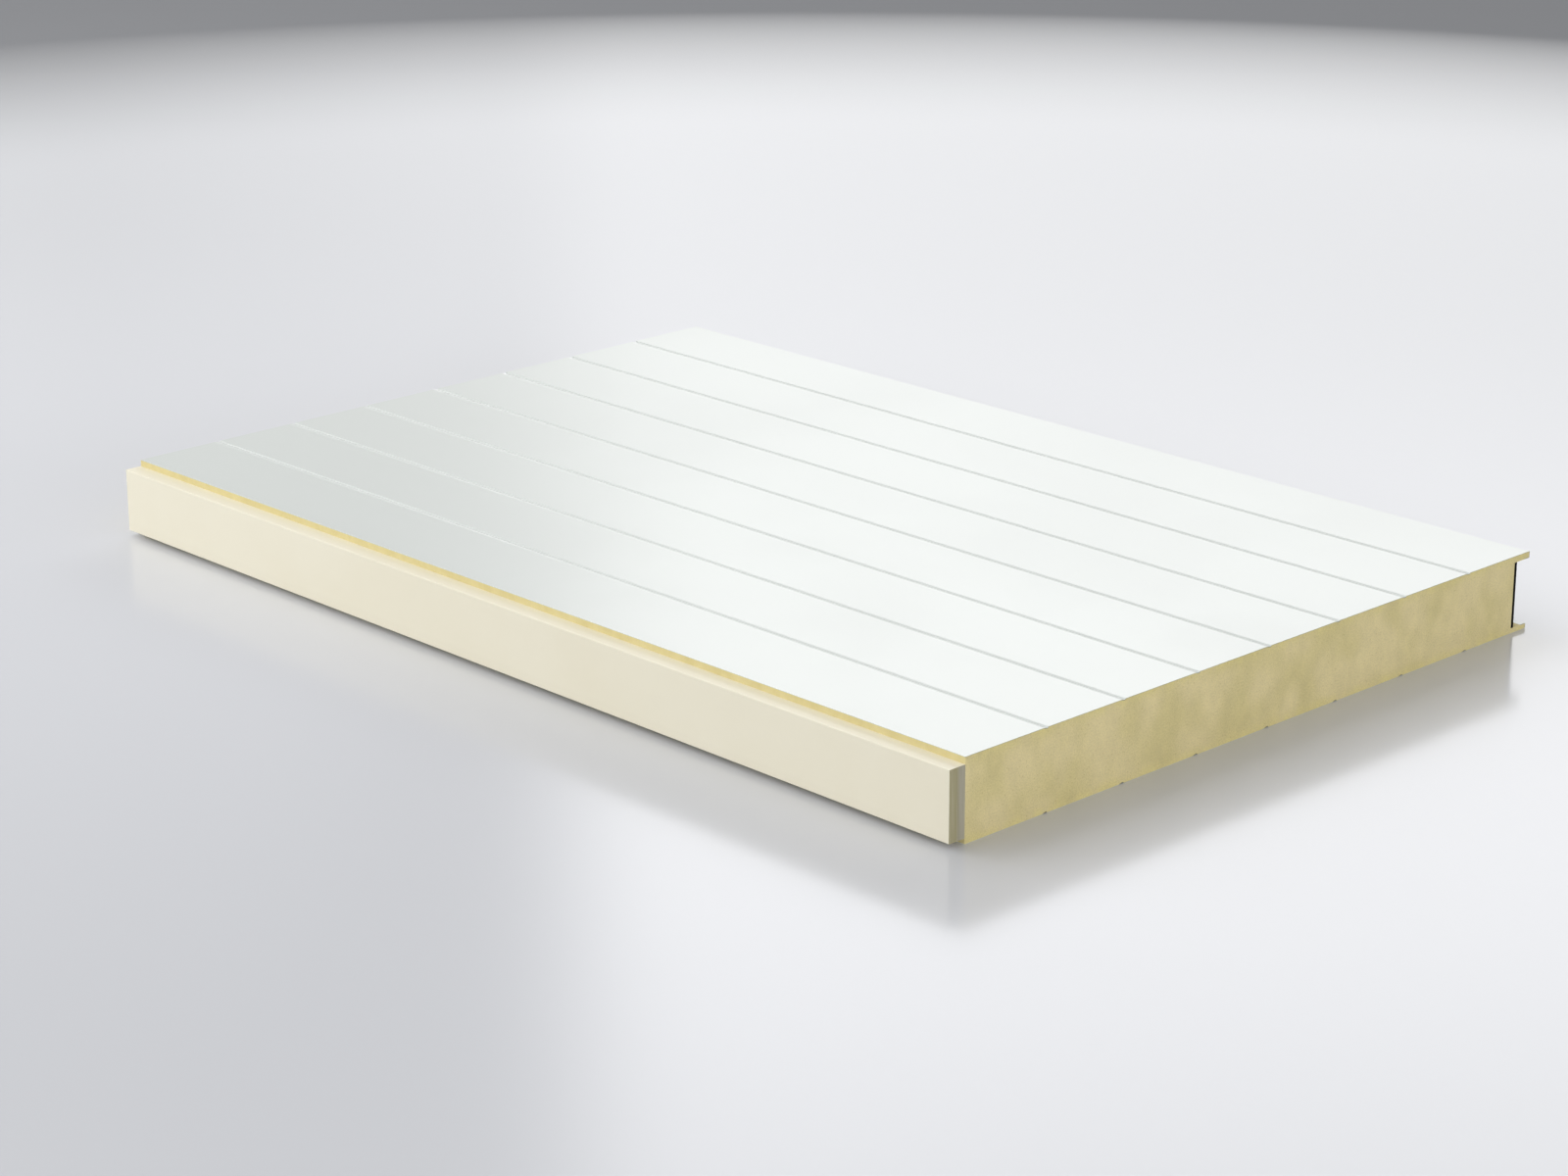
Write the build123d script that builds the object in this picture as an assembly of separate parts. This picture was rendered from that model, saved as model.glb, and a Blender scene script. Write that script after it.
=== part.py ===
from build123d import *
import os

# Insulated wall and roof panel with a tongue on one long side and a groove on the other.
# X runs across the panel, from the tongue to the groove, Y along it and Z up.
# The origin is under the middle of the panel, on the plane it lies on. All sizes are in millimetres.

# Whole panel
length = 1515.0
cover_width = 1000.0
thickness = 100.0

# Steel sheets, folded round the two lips of the groove
sheet_thickness = 0.6
bend_radius = 0.7
edge_return = 10.0

# Rolled lines of the sheets: a long gentle flank, then a short steep side
line_pitch = 125.0
line_depth = 1.4
line_flank = 7.2
line_side = 1.3
edge_land = 60.0

# Tongue, and the joint that it makes with the next panel
tongue_reach = 24.0
tongue_edge_radius = 1.0
upper_step = 8.7
lower_step = 7.0
joint_play = 0.3
joint_gap = 1.0
seal_thickness = 4.8

# Heights of the tongue, and of the groove that takes it with a little play
tongue_top = thickness - upper_step
groove_top = tongue_top + joint_play
groove_bottom = lower_step - joint_play

# Heights of the lips over and under the groove
upper_lip = thickness - groove_top
lower_lip = groove_bottom

# Across the panel, measured from the foam's face on the tongue side
seal_face = cover_width - tongue_reach - joint_gap
groove_wall = seal_face - seal_thickness
fold_start = cover_width - edge_return
body_left = tongue_reach - (cover_width + tongue_reach) / 2

# How far construction areas run past the panel before they are trimmed
overrun = 20.0


# Filled rectangle of the cross-section between two corners
def box_area(left, low, right, high):
    return Pos((left + right) / 2, (low + high) / 2) * Rectangle(right - left, high - low)


# The same area on the other face of the panel
def upside_down(area):
    return Pos(0, thickness) * mirror(area, about=Plane.XZ)


# Points of the middle line of the top sheet, past both long edges
def sheet_middle_points():
    middle = thickness - sheet_thickness / 2
    count = int((cover_width - edge_land) / line_pitch)
    points = [(-overrun, middle)]
    for number in range(1, count + 1):
        start = number * line_pitch - (line_flank + line_side) / 2
        points.append((start, middle))
        points.append((start + line_flank, middle - line_depth))
        points.append((start + line_flank + line_side, middle))
    points.append((cover_width + overrun, middle))
    return points


# Everything under the middle line of the top sheet, with the bends rounded,
# then grown or shrunk so that its upper edge is one face of the sheet
def area_under_sheet(shift):
    middle_radius = bend_radius + sheet_thickness / 2
    line = sheet_middle_points()
    corners = [(cover_width + overrun, -overrun), (-overrun, -overrun)]
    area = make_face(Polyline(*line, *corners, close=True))
    bends = [v for v in area.vertices() if 0 < v.X < cover_width]
    return offset(fillet(bends, middle_radius), amount=shift)


# Outer end of a lip of this height under the top face
def lip_zone(lip_height):
    return box_area(fold_start, thickness - lip_height, cover_width, thickness)


# Outside of the fold round that lip, or its inside where the inset is the sheet's thickness
def fold_outline(lip_height, inset):
    low = thickness - lip_height + inset
    area = box_area(fold_start - overrun, low, cover_width - inset, thickness - inset)
    outer_corners = area.vertices().group_by(Axis.X)[-1]
    return fillet(outer_corners, bend_radius + sheet_thickness - inset) & lip_zone(lip_height)


def sheet_area(lip_height):
    outside = area_under_sheet(sheet_thickness / 2)
    inside = area_under_sheet(-sheet_thickness / 2)
    flat = (outside - inside) & box_area(0, thickness / 2, fold_start, thickness + overrun)
    fold = fold_outline(lip_height, 0) - fold_outline(lip_height, sheet_thickness)
    return flat + fold


# The foam fills the panel between the sheets, and the inside of both folds
def core_area():
    under_top = area_under_sheet(-sheet_thickness / 2)
    block = box_area(0, 0, cover_width, thickness) & under_top & upside_down(under_top)
    groove = box_area(groove_wall, groove_bottom, cover_width + overrun, groove_top)
    body = block - groove - lip_zone(upper_lip) - upside_down(lip_zone(lower_lip))
    upper_end = fold_outline(upper_lip, sheet_thickness)
    lower_end = upside_down(fold_outline(lower_lip, sheet_thickness))
    return body + upper_end + lower_end


def tongue_area():
    strip = box_area(-tongue_reach, lower_step, 0, tongue_top)
    outer_corners = strip.vertices().group_by(Axis.X)[0]
    return fillet(outer_corners, tongue_edge_radius)


def seal_area():
    return box_area(groove_wall, groove_bottom, seal_face, groove_top)


# A piece of the panel: its cross-section carried over the whole length
def along_panel(area):
    return Pos(body_left, 0, 0) * extrude(Plane.XZ * area, amount=length / 2, both=True)


pieces = {
    "top_sheet": along_panel(sheet_area(upper_lip)),
    "bottom_sheet": along_panel(upside_down(sheet_area(lower_lip))),
    "foam_core": along_panel(core_area()),
    "tongue": along_panel(tongue_area()),
    "joint_seal": along_panel(seal_area()),
}

os.makedirs("parts", exist_ok=True)
for name, shape in pieces.items():
    export_step(shape, f"parts/{name}.step")
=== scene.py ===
import math
import bpy
import numpy as np
from mathutils import Matrix, Vector


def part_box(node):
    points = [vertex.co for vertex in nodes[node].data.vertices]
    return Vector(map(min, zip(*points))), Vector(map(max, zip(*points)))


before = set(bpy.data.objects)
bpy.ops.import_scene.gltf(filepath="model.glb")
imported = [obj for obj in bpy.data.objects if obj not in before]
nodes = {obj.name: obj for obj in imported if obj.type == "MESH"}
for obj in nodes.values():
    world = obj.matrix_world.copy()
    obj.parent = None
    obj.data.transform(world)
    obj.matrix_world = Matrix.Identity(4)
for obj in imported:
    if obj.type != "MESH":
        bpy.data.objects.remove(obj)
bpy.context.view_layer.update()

print("frame loaded:", ", ".join(sorted(nodes)))


# Node helpers

def isOutput(value):
    return isinstance(value, bpy.types.NodeSocket)


def addNode(tree, kind, links=None, **settings):
    # links maps an input's name or number to a value or to another node's output
    node = tree.nodes.new(kind)
    for name, value in settings.items():
        setattr(node, name, value)
    for key, value in (links or {}).items():
        if isOutput(value):
            tree.links.new(value, node.inputs[key])
        else:
            node.inputs[key].default_value = value
    return node


def mixColour(tree, mask, first, second, how="MIX"):
    # inputs 6 and 7 of this node are its two colours
    pair = [value if isOutput(value) else (*value, 1) for value in (first, second)]
    links = {0: mask, 6: pair[0], 7: pair[1]}
    return addNode(tree, "ShaderNodeMix", links, data_type="RGBA", blend_type=how).outputs[2]


def calc(tree, how, first, second=0.0, third=0.0):
    return addNode(tree, "ShaderNodeMath", {0: first, 1: second, 2: third}, operation=how).outputs[0]


def vectorCalc(tree, how, first, second=(0.0, 0.0, 0.0)):
    return addNode(tree, "ShaderNodeVectorMath", {0: first, 1: second}, operation=how).outputs["Value"]


def ramp(tree, value, low, high, toLow=0.0, toHigh=1.0, smooth=False):
    kind = "SMOOTHSTEP" if smooth else "LINEAR"
    links = {0: value, 1: low, 2: high, 3: toLow, 4: toHigh}
    return addNode(tree, "ShaderNodeMapRange", links, interpolation_type=kind).outputs[0]


def noise(tree, place, scale, detail=2.0, rough=0.5, distortion=0.0):
    links = {"Vector": place, "Scale": scale, "Detail": detail, "Roughness": rough, "Distortion": distortion}
    return addNode(tree, "ShaderNodeTexNoise", links).outputs[0]


def stretched(tree, place, scale):
    return addNode(tree, "ShaderNodeMapping", {"Vector": place, "Scale": scale}).outputs[0]


def axisOf(tree, vector, axis):
    return addNode(tree, "ShaderNodeSeparateXYZ", {0: vector}).outputs[axis]


def bump(tree, height, distance, strength=1.0, under=None):
    links = {"Height": height, "Distance": distance, "Strength": strength}
    if under is not None:
        links["Normal"] = under
    return addNode(tree, "ShaderNodeBump", links).outputs[0]


def newGroup(name, inputs, outputs):
    tree = bpy.data.node_groups.new(name, "ShaderNodeTree")
    for label, kind, value in inputs:
        socket = tree.interface.new_socket(label, in_out="INPUT", socket_type=kind)
        if value is not None:
            socket.default_value = value
    for label in outputs:
        tree.interface.new_socket(label, in_out="OUTPUT", socket_type="NodeSocketFloat")
    return tree, tree.nodes.new("NodeGroupInput"), tree.nodes.new("NodeGroupOutput")


def useGroup(tree, group, links):
    return addNode(tree, "ShaderNodeGroup", links, node_tree=group)


def newMaterial(name):
    made = bpy.data.materials.new(name)
    made.use_nodes = True
    tree = made.node_tree
    shader = tree.nodes["Principled BSDF"]
    coords = tree.nodes.new("ShaderNodeTexCoord")
    return made, tree, shader, coords


def give(node, made):
    # a CAD node keeps its mesh and gets this finish
    for slot in nodes[node].material_slots:
        slot.material = made


# Shared effects

cellSettings = {
    "tornSize": 0.17,             # scale of the torn cells, as a share of the cells' own
    "tornFrom": 0.3,              # torn cells with a lower random number stay closed
    "grainSize": 0.45,            # scale of the grain, as a share of the cells' own
    "rise": (1.0, 1.0, 0.75),     # the foam rose between the sheets, so its patches are drawn out upwards
}


def makeCells(look):
    # closed gas cells of a foam: round walls, a few torn ones, a fine grain, and soft patches of colour
    sockets = [("Place", "NodeSocketVector", None), ("Cell Scale", "NodeSocketFloat", 1400.0),
               ("Patch Scale", "NodeSocketFloat", 40.0), ("Pit Share", "NodeSocketFloat", 0.2)]
    tree, source, target = newGroup("foamCells", sockets, ("Cell Height", "Pits", "Patches", "Grain"))
    place, cellScale = source.outputs["Place"], source.outputs["Cell Scale"]
    walls = addNode(tree, "ShaderNodeTexVoronoi", {"Vector": place, "Scale": cellScale}, feature="F1")
    pitScale = calc(tree, "MULTIPLY", cellScale, look["tornSize"])
    pits = addNode(tree, "ShaderNodeTexVoronoi", {"Vector": place, "Scale": pitScale}, feature="F1")
    chance = addNode(tree, "ShaderNodeSeparateColor", {0: pits.outputs["Color"]}).outputs[0]
    hollow = ramp(tree, pits.outputs["Distance"], source.outputs["Pit Share"], 0.0, smooth=True)
    openPit = calc(tree, "MULTIPLY", hollow, calc(tree, "GREATER_THAN", chance, look["tornFrom"]))
    risen = stretched(tree, place, look["rise"])
    patches = noise(tree, risen, source.outputs["Patch Scale"], detail=3.0, rough=0.55)
    grain = noise(tree, place, calc(tree, "MULTIPLY", cellScale, look["grainSize"]), detail=1.0)
    tree.links.new(walls.outputs["Distance"], target.inputs["Cell Height"])
    tree.links.new(openPit, target.inputs["Pits"])
    tree.links.new(patches, target.inputs["Patches"])
    tree.links.new(grain, target.inputs["Grain"])
    return tree


filmSettings = {
    "range": (0.35, 0.7),     # noise levels between which the film comes in
    "rough": 0.55,
    "distortion": 0.4,
}


def makeHandling(look):
    # faint uneven film that handling leaves on a surface
    sockets = [("Place", "NodeSocketVector", None), ("Scale", "NodeSocketFloat", 3.0)]
    tree, source, target = newGroup("handlingFilm", sockets, ("Film",))
    large = noise(tree, source.outputs["Place"], source.outputs["Scale"], detail=4.0, rough=look["rough"],
                  distortion=look["distortion"])
    tree.links.new(ramp(tree, large, *look["range"], smooth=True), target.inputs["Film"])
    return tree


faceSettings = {
    "sawnEnd": (0.6, 0.8),        # share of the normal along the panel, on its two sawn ends
    "longSide": (0.9, 0.98),      # share of the normal across the panel, on its long sides
}


def makeFaceKinds(look):
    # which way a face looks, from its normal
    sockets = [("Normal", "NodeSocketVector", None)]
    tree, source, target = newGroup("faceKinds", sockets, ("Sawn End", "Long Side"))
    normal = source.outputs["Normal"]
    along = calc(tree, "ABSOLUTE", axisOf(tree, normal, "Y"))
    across = calc(tree, "ABSOLUTE", axisOf(tree, normal, "X"))
    tree.links.new(ramp(tree, along, *look["sawnEnd"]), target.inputs["Sawn End"])
    tree.links.new(ramp(tree, across, *look["longSide"]), target.inputs["Long Side"])
    return tree


cells = makeCells(cellSettings)
handling = makeHandling(filmSettings)
faceKinds = makeFaceKinds(faceSettings)
print("shared effects made")


# Painted steel sheets

sheetSettings = {
    "paint": (0.652, 0.685, 0.662),
    "paintWorn": (0.636, 0.667, 0.645),
    "filmScale": 2.5,
    "cutTop": (0.38, 0.36, 0.24),
    "cutLow": (0.66, 0.62, 0.44),
    "paintedShadeAtLine": (0.13, 0.12, 0.075),     # painted shade: the cut edge is darkened where a rolled line draws it in from the face, over the gap under the line
    "drawnIn": (0.0006, 0.0009),          # depths under the face between which that painted shade comes in
    "roughness": 0.24,
    "roughnessWorn": 0.27,
    "cutRoughness": 0.5,
    "ior": 1.54,
    "peelScale": 420.0,
    "peelHeight": 0.000004,
    "waveScale": (5.0, 1.1, 5.0),         # long shallow waves along the panel
    "waveHeight": 0.00012,
}


def sheetMaterial(look):
    made, tree, shader, coords = newMaterial("paintedSheet")
    place = coords.outputs["Object"]
    film = useGroup(tree, handling, {"Place": place, "Scale": look["filmScale"]}).outputs["Film"]
    sawnEnd = useGroup(tree, faceKinds, {"Normal": coords.outputs["Normal"]}).outputs["Sawn End"]
    paint = mixColour(tree, film, look["paint"], look["paintWorn"])
    height = axisOf(tree, place, "Z")
    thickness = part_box("top_sheet")[1].z
    fromFace = calc(tree, "MINIMUM", height, calc(tree, "SUBTRACT", thickness, height))
    onTop = calc(tree, "GREATER_THAN", height, thickness / 2)
    plainCut = mixColour(tree, onTop, look["cutLow"], look["cutTop"])
    # painted shade on the cut edge at each rolled line, standing in for the shadowed notch under it
    cutWithPaintedShade = mixColour(tree, ramp(tree, fromFace, *look["drawnIn"]), plainCut, look["paintedShadeAtLine"])
    gloss = ramp(tree, film, 0.0, 1.0, look["roughness"], look["roughnessWorn"])
    rougher = calc(tree, "MULTIPLY", sawnEnd, look["cutRoughness"] - look["roughness"])
    peel = noise(tree, place, look["peelScale"], detail=1.0)
    waves = noise(tree, stretched(tree, place, look["waveScale"]), 1.0, detail=1.0)
    relief = bump(tree, waves, look["waveHeight"], under=bump(tree, peel, look["peelHeight"]))
    tree.links.new(mixColour(tree, sawnEnd, paint, cutWithPaintedShade), shader.inputs["Base Color"])
    tree.links.new(calc(tree, "ADD", gloss, rougher), shader.inputs["Roughness"])
    tree.links.new(relief, shader.inputs["Normal"])
    shader.inputs["IOR"].default_value = look["ior"]
    return made


# Rigid foam

foamSettings = {
    "light": (0.895, 0.768, 0.420),       # the two colours of the clouds
    "dark": (0.790, 0.682, 0.332),
    "cloudScale": 17.0,                   # broad soft clouds, about 60 mm wide
    "cloudStretch": (1.0, 1.0, 0.8),
    "cloudRange": (0.32, 0.62),
    "dense": (0.850, 0.740, 0.325),
    "denseDepth": 0.012,                  # the foam is denser and yellower this near to the sheets
    "denseRange": (0.3, 0.6),
    "cellScale": 1100.0,
    "patchScale": 45.0,
    "patchRange": (0.3, 0.7),
    "patchShare": 0.10,                   # how much the patches darken the foam, and how much the grain does
    "grainRange": (0.25, 0.75),
    "grainShare": 0.16,
    "pitShade": (0.500, 0.400, 0.160),         # painted shade in the hollows of torn cells
    "pitSize": 0.24,
    "pitShare": 0.55,
    "side": (0.710, 0.612, 0.292),        # the two colours of the long sides
    "sideLight": (0.765, 0.668, 0.340),
    "sideRange": (0.35, 0.65),
    "roughness": 0.85,
    "cellHeight": 0.00025,
    "cellStrength": 0.6,
    "patchHeight": 0.0006,
}


def foamMaterial(look):
    made, tree, shader, coords = newMaterial("rigidFoam")
    place = coords.outputs["Object"]
    longSide = useGroup(tree, faceKinds, {"Normal": coords.outputs["Normal"]}).outputs["Long Side"]
    found = useGroup(tree, cells, {"Place": place, "Cell Scale": look["cellScale"],
                                   "Patch Scale": look["patchScale"], "Pit Share": look["pitSize"]})
    patches = found.outputs["Patches"]

    # soft clouds, and a denser zone near the sheets
    drawnOut = stretched(tree, place, look["cloudStretch"])
    clouds = noise(tree, drawnOut, look["cloudScale"], detail=1.5, rough=0.45)
    paler = ramp(tree, clouds, *look["cloudRange"], smooth=True)
    clean = mixColour(tree, paler, look["dark"], look["light"])
    height = axisOf(tree, place, "Z")
    low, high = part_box("foam_core")
    fromTop = ramp(tree, height, high.z - look["denseDepth"], high.z)
    fromLow = ramp(tree, height, low.z + look["denseDepth"], low.z)
    nearSheet = calc(tree, "MAXIMUM", fromTop, fromLow)
    near = calc(tree, "MULTIPLY", nearSheet, ramp(tree, patches, *look["denseRange"]))
    fresh = mixColour(tree, near, clean, look["dense"])

    # patches, grain and torn cells, these last with painted shade in their hollows, on the sawn ends, and
    # plain foam on the long sides
    patchShade = ramp(tree, patches, *look["patchRange"], 1.0 - look["patchShare"], 1.0)
    grainShade = ramp(tree, found.outputs["Grain"], *look["grainRange"], 1.0 - look["grainShare"], 1.0)
    shade = calc(tree, "MULTIPLY", patchShade, grainShade)
    grey = addNode(tree, "ShaderNodeCombineColor", {0: shade, 1: shade, 2: shade}).outputs[0]
    cut = mixColour(tree, 1.0, fresh, grey, "MULTIPLY")
    # the torn cells are darkened with painted shade
    torn = calc(tree, "MULTIPLY", found.outputs["Pits"], look["pitShare"])
    withPitShade = mixColour(tree, torn, cut, look["pitShade"])
    side = mixColour(tree, ramp(tree, patches, *look["sideRange"]), look["side"], look["sideLight"])

    cellBump = bump(tree, found.outputs["Cell Height"], look["cellHeight"], look["cellStrength"])
    tree.links.new(mixColour(tree, longSide, withPitShade, side), shader.inputs["Base Color"])
    tree.links.new(bump(tree, patches, look["patchHeight"], under=cellBump), shader.inputs["Normal"])
    shader.inputs["Roughness"].default_value = look["roughness"]
    return made


# Cream tongue

tongueSettings = {
    "face": (0.866, 0.818, 0.661),
    "faceSoft": (0.847, 0.795, 0.632),
    "filmScale": 4.0,
    "sawn": (0.322, 0.288, 0.150),
    "sawnInner": (0.335, 0.311, 0.234),
    "sawnStep": 0.56,                     # where the sawn end's two layers meet, as a share of its width
    "sawnBlur": 0.0025,                   # the layers blend this far to both sides of it
    "streakScale": (700.0, 700.0, 14.0),  # the saw's fine streaks run from the bottom to the top
    "streakRange": (0.3, 0.7),
    "streakShare": 0.22,
    "roughness": 0.42,
    "grainScale": 900.0,
    "grainHeight": 0.00002,
}


def tongueMaterial(look):
    made, tree, shader, coords = newMaterial("creamTongue")
    place = coords.outputs["Object"]
    sawnEnd = useGroup(tree, faceKinds, {"Normal": coords.outputs["Normal"]}).outputs["Sawn End"]
    film = useGroup(tree, handling, {"Place": place, "Scale": look["filmScale"]}).outputs["Film"]
    face = mixColour(tree, film, look["face"], look["faceSoft"])
    low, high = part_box("tongue")
    meeting, blur = low.x + look["sawnStep"] * (high.x - low.x), look["sawnBlur"]
    inward = ramp(tree, axisOf(tree, place, "X"), meeting - blur, meeting + blur)
    sawn = mixColour(tree, inward, look["sawn"], look["sawnInner"])
    streaks = noise(tree, stretched(tree, place, look["streakScale"]), 1.0)
    streakMask = ramp(tree, streaks, *look["streakRange"], 0.0, look["streakShare"])
    streaked = mixColour(tree, streakMask, sawn, look["face"])
    grain = noise(tree, place, look["grainScale"])
    tree.links.new(mixColour(tree, sawnEnd, face, streaked), shader.inputs["Base Color"])
    tree.links.new(bump(tree, grain, look["grainHeight"]), shader.inputs["Normal"])
    shader.inputs["Roughness"].default_value = look["roughness"]
    return made


# Black seal

sealSettings = {
    "black": (0.003, 0.003, 0.002),
    "dusty": (0.009, 0.0085, 0.007),
    "roughness": 0.9,
    "shine": 0.12,
    "cellScale": 1600.0,
    "patchScale": 60.0,
    "cellHeight": 0.0002,
    "cellStrength": 0.6,
}


def sealMaterial(look):
    made, tree, shader, coords = newMaterial("spongeRubber")
    found = useGroup(tree, cells, {"Place": coords.outputs["Object"], "Cell Scale": look["cellScale"],
                                   "Patch Scale": look["patchScale"]})
    colour = mixColour(tree, found.outputs["Patches"], look["black"], look["dusty"])
    relief = bump(tree, found.outputs["Cell Height"], look["cellHeight"], look["cellStrength"])
    tree.links.new(colour, shader.inputs["Base Color"])
    tree.links.new(relief, shader.inputs["Normal"])
    shader.inputs["Roughness"].default_value = look["roughness"]
    shader.inputs["Specular IOR Level"].default_value = look["shine"]
    return made


paintedSheet = sheetMaterial(sheetSettings)
give("top_sheet", paintedSheet)
give("bottom_sheet", paintedSheet)
give("foam_core", foamMaterial(foamSettings))
give("tongue", tongueMaterial(tongueSettings))
give("joint_seal", sealMaterial(sealSettings))
print("finishes given")


# Studio helpers; a bearing runs from +Y towards +X, in degrees

def compass(bearing):
    turn = math.radians(bearing)
    return Vector((math.sin(turn), math.cos(turn), 0))


def inScene(name, data):
    thing = bpy.data.objects.new(name, data)
    bpy.context.scene.collection.objects.link(thing)
    return thing


def meshPiece(name, points, faces, made):
    mesh = bpy.data.meshes.new(name)
    mesh.from_pydata(points, [], faces)
    mesh.materials.append(made)
    return inScene(name, mesh)


def glowMaterial(name, findStrength):
    # findStrength works out the glow from the node tree and the point's place on the piece
    made, tree, shader, coords = newMaterial(name)
    glow = addNode(tree, "ShaderNodeEmission", {"Strength": findStrength(tree, coords.outputs["Object"])})
    tree.links.new(glow.outputs[0], tree.nodes["Material Output"].inputs["Surface"])
    tree.nodes.remove(shader)
    return made


# Camera

cameraSettings = {
    "place": Vector((-3.1618, -3.2883, 1.5295)),
    "bearing": 43.609,
    "down": 18.660,
    "roll": -0.167,
    "lens": 86.02,
    "sensor": 36.0,
}


def makeCamera(look):
    data = bpy.data.cameras.new("photoCamera")
    data.sensor_width = look["sensor"]
    data.lens = look["lens"]
    camera = inScene("photoCamera", data)
    turn = Matrix.Rotation(-math.radians(look["bearing"]), 4, "Z")
    tilt = Matrix.Rotation(math.radians(90 - look["down"]), 4, "X")
    roll = Matrix.Rotation(math.radians(look["roll"]), 4, "Z")
    camera.matrix_world = Matrix.Translation(look["place"]) @ turn @ tilt @ roll
    bpy.context.scene.camera = camera


makeCamera(cameraSettings)
print("camera placed")


# Floor

floorSettings = {
    "half": 30.0,
    "plain": (0.632, 0.643, 0.676),
    # painted shade: the floor is darker towards the camera, standing in for the lamps' falloff
    "near": (0.612, 0.623, 0.655),
    "nearShadeRange": (-0.4, -2.2),        # metres ahead of the panel's middle, seen from the camera, over which the painted shade near the camera comes in
    # painted light: a lighter patch of floor on the left, standing in for more light falling there
    "left": (0.690, 0.702, 0.739),
    "leftRange": (0.25, 0.65),        # metres to the left of the panel's middle, seen from the camera
    "leftIn": (-1.5, 0.1),            # metres ahead of it, over which the painted light on the left comes in
    "leftOut": (0.6, 2.2),            # and over which it goes out again
    # painted shade: the floor far beyond the panel is darker
    "far": (0.272, 0.277, 0.290),
    "farRange": (2.85, 4.2),          # metres from the panel's middle, on the side away from the camera
    "roughness": 0.16,
    "shine": 0.38,
}


def floorMaterial(look):
    made, tree, shader, coords = newMaterial("paleFloor")
    place = coords.outputs["Object"]
    distance = vectorCalc(tree, "LENGTH", place)
    ahead = vectorCalc(tree, "DOT_PRODUCT", place, compass(cameraSettings["bearing"]))
    aside = vectorCalc(tree, "DOT_PRODUCT", place, compass(cameraSettings["bearing"] - 90))

    # painted shade: a darker floor colour towards the camera
    near = ramp(tree, ahead, *look["nearShadeRange"])
    plain = mixColour(tree, near, look["plain"], look["near"])
    # painted light: the floor is made lighter on the left, over a stretch ahead of the panel
    comeIn = ramp(tree, ahead, *look["leftIn"], smooth=True)
    goneOut = ramp(tree, ahead, *look["leftOut"], 1.0, 0.0, smooth=True)
    along = calc(tree, "MULTIPLY", comeIn, goneOut)
    left = calc(tree, "MULTIPLY", along, ramp(tree, aside, *look["leftRange"], smooth=True))
    lit = mixColour(tree, left, plain, look["left"])

    # the far floor is painted darker as painted shade, and loses its gloss as well, so the picture darkens
    # towards its top
    beyond = ramp(tree, ahead, 0.0, look["farRange"][0])
    far = calc(tree, "MULTIPLY", ramp(tree, distance, *look["farRange"], smooth=True), beyond)
    shine = ramp(tree, far, 0.0, 1.0, look["shine"], 0.0)
    tree.links.new(mixColour(tree, far, lit, look["far"]), shader.inputs["Base Color"])
    tree.links.new(shine, shader.inputs["Specular IOR Level"])
    shader.inputs["Roughness"].default_value = look["roughness"]
    return made


def makeFloor(look):
    half = look["half"]
    corners = [(-half, -half, 0), (half, -half, 0), (half, half, 0), (-half, half, 0)]
    floor = meshPiece("floor", corners, [(0, 1, 2, 3)], floorMaterial(look))


makeFloor(floorSettings)
print("floor made")


# Room light, and a lamp overhead

roomSettings = {
    "strength": 0.49,
    "lampBearing": -8.0,
    "lampDistance": 4.6,
    "lampHeight": 6.4,
    "lampAim": (-0.4, 0.0, 0.1),
    "lampSize": (6.0, 4.0),
    "lampRadiance": 2.0,      # 1 shows as plain white
}


def makeRoom(look):
    world = bpy.data.worlds.new("studio")
    bpy.context.scene.world = world
    world.use_nodes = True
    background = world.node_tree.nodes["Background"]
    background.inputs["Color"].default_value = (1, 1, 1, 1)
    background.inputs["Strength"].default_value = look["strength"]
    data = bpy.data.lights.new("overhead", "AREA")
    data.shape = "RECTANGLE"
    data.size, data.size_y = look["lampSize"]
    # an area lamp's power spreads over its face times pi
    data.energy = look["lampRadiance"] * math.pi * data.size * data.size_y
    lamp = inScene("overhead", data)
    lamp.location = compass(look["lampBearing"]) * look["lampDistance"] + Vector((0, 0, look["lampHeight"]))
    lamp.rotation_euler = (Vector(look["lampAim"]) - lamp.location).to_track_quat("-Z", "Y").to_euler()
    lamp.visible_camera = False


makeRoom(roomSettings)
print("room light made")


# Light wall: part of a cylinder round the camera's foot, which the floor and the top sheet mirror

wallSettings = {
    "distance": 25.0,
    "bearings": (10.0, 79.0),
    "steps": 16,
    # its bright part: the elevation at which the floor shows a level, and its radiance above the room's
    "levels": ((3.5, 2.20), (7.4, 2.20), (8.2, 0.75), (12.4, 0.81), (15.1, 0.98), (16.1, 1.18), (17.1, 1.43),
               (18.1, 1.74), (19.1, 2.03), (20.1, 2.34), (21.3, 2.60), (23.0, 2.71), (31.0, 2.66)),
    "brightFrom": (39.2, 41.1),       # bearings over which it comes in
    # its dim part on the left, up to an elevation: two bearings, each with its radiance
    "dimBearings": (33.0, 38.5),
    "dimRadiance": (0.30, 0.62),
    "dimTop": 16.0,
}


def wallHeight(elevation):
    # where a sight line that rises at this angle from the mirrored camera meets the wall
    return wallSettings["distance"] * math.tan(math.radians(elevation)) - cameraSettings["place"].z


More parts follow.
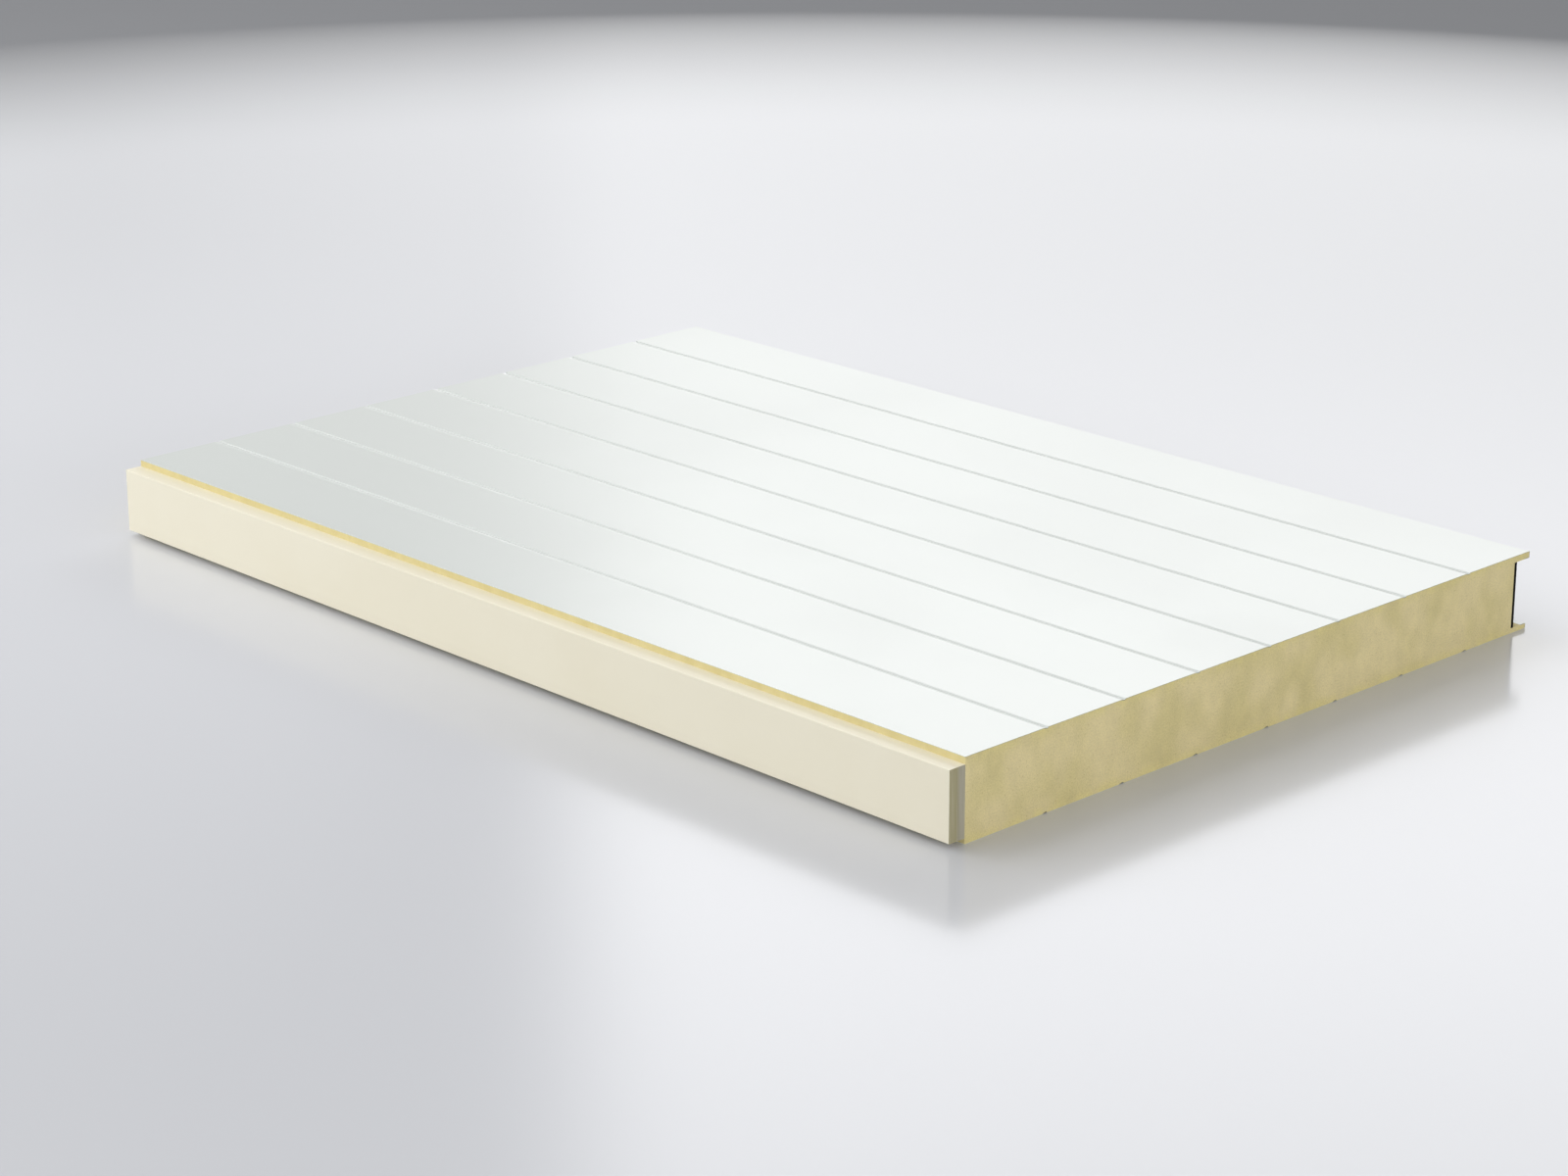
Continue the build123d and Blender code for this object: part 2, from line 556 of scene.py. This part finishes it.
def wallStrength(tree, place):
    look, eye = wallSettings, cameraSettings["place"]
    top = wallHeight(look["levels"][-1][0])
    height = axisOf(tree, place, "Z")
    east = calc(tree, "SUBTRACT", axisOf(tree, place, "X"), eye.x)
    north = calc(tree, "SUBTRACT", axisOf(tree, place, "Y"), eye.y)
    bearing = calc(tree, "DEGREES", calc(tree, "ARCTAN2", east, north))

    most = max(radiance for elevation, radiance in look["levels"])
    graded = addNode(tree, "ShaderNodeValToRGB", {0: calc(tree, "DIVIDE", height, top)})
    stops = graded.color_ramp.elements
    while len(stops) < len(look["levels"]):
        stops.new(0.5)      # its place comes below
    for stop, (elevation, radiance) in zip(stops, look["levels"]):
        stop.position = wallHeight(elevation) / top
        stop.color = (radiance / most, radiance / most, radiance / most, 1)
    bright = calc(tree, "MULTIPLY", graded.outputs[0], most)

    under = calc(tree, "LESS_THAN", height, wallHeight(look["dimTop"]))
    dim = calc(tree, "MULTIPLY", ramp(tree, bearing, *look["dimBearings"], *look["dimRadiance"]), under)
    share = ramp(tree, bearing, *look["brightFrom"])
    own = calc(tree, "MULTIPLY_ADD", share, calc(tree, "SUBTRACT", bright, dim), dim)
    return calc(tree, "ADD", own, roomSettings["strength"])


def makeWall(look):
    # x, y = eye + distance * (sine, cosine) of the bearing; z runs from the floor to the top level
    eye = cameraSettings["place"]
    bearings = np.radians(np.linspace(*look["bearings"], look["steps"] + 1))
    foot = np.stack([eye.x + look["distance"] * np.sin(bearings),
                     eye.y + look["distance"] * np.cos(bearings), np.zeros(len(bearings))], axis=1)
    points = np.concatenate([foot, foot + (0, 0, wallHeight(look["levels"][-1][0]))])
    column = np.arange(look["steps"])
    row = len(bearings)
    faces = np.stack([column, column + 1, column + 1 + row, column + row], axis=1)
    made = glowMaterial("gradedLight", wallStrength)
    wall = meshPiece("lightWall", points.tolist(), faces.tolist(), made)
    wall.visible_camera = False


makeWall(wallSettings)
print("light wall made")


# Light boards: upright, and brightest in the middle, so their image in the floor has no hard edge

boardSettings = {
    # the first lights the tongue's long face and the second the sawn end; height is that of a board's middle
    "lightBoard1": {"bearing": -50.0, "distance": 4.5, "height": 2.5, "width": 10.0, "tall": 5.0,
                    "radiance": 1.96},
    "lightBoard2": {"bearing": -163.0, "distance": 6.0, "height": 1.4, "width": 12.0, "tall": 2.8,
                    "radiance": 2.00},
}
boardEdge = 0.5       # share of a board's half width over which its light fades out


def fadeOut(tree, place, axis, half):
    # 0 at the board's edge, rising smoothly to 1 further in
    fromMiddle = calc(tree, "ABSOLUTE", axisOf(tree, place, axis))
    return ramp(tree, fromMiddle, half, half * (1 - boardEdge), smooth=True)


def makeBoard(name, look):
    half, rise = look["width"] / 2, look["tall"] / 2

    def boardStrength(tree, place):
        # radiance * fade across * fade upwards, over the room's own light
        fades = calc(tree, "MULTIPLY", fadeOut(tree, place, "X", half), fadeOut(tree, place, "Z", rise))
        own = calc(tree, "MULTIPLY", fades, look["radiance"])
        return calc(tree, "ADD", own, roomSettings["strength"])

    corners = [(-half, 0, -rise), (half, 0, -rise), (half, 0, rise), (-half, 0, rise)]
    board = meshPiece(name, corners, [(0, 1, 2, 3)], glowMaterial(name, boardStrength))
    board.location = compass(look["bearing"]) * look["distance"] + Vector((0, 0, look["height"]))
    board.rotation_euler = (0, 0, -math.radians(look["bearing"]))
    board.visible_camera = False


for name, look in boardSettings.items():
    makeBoard(name, look)
bpy.context.scene.view_settings.view_transform = "Standard"
print("studio made")
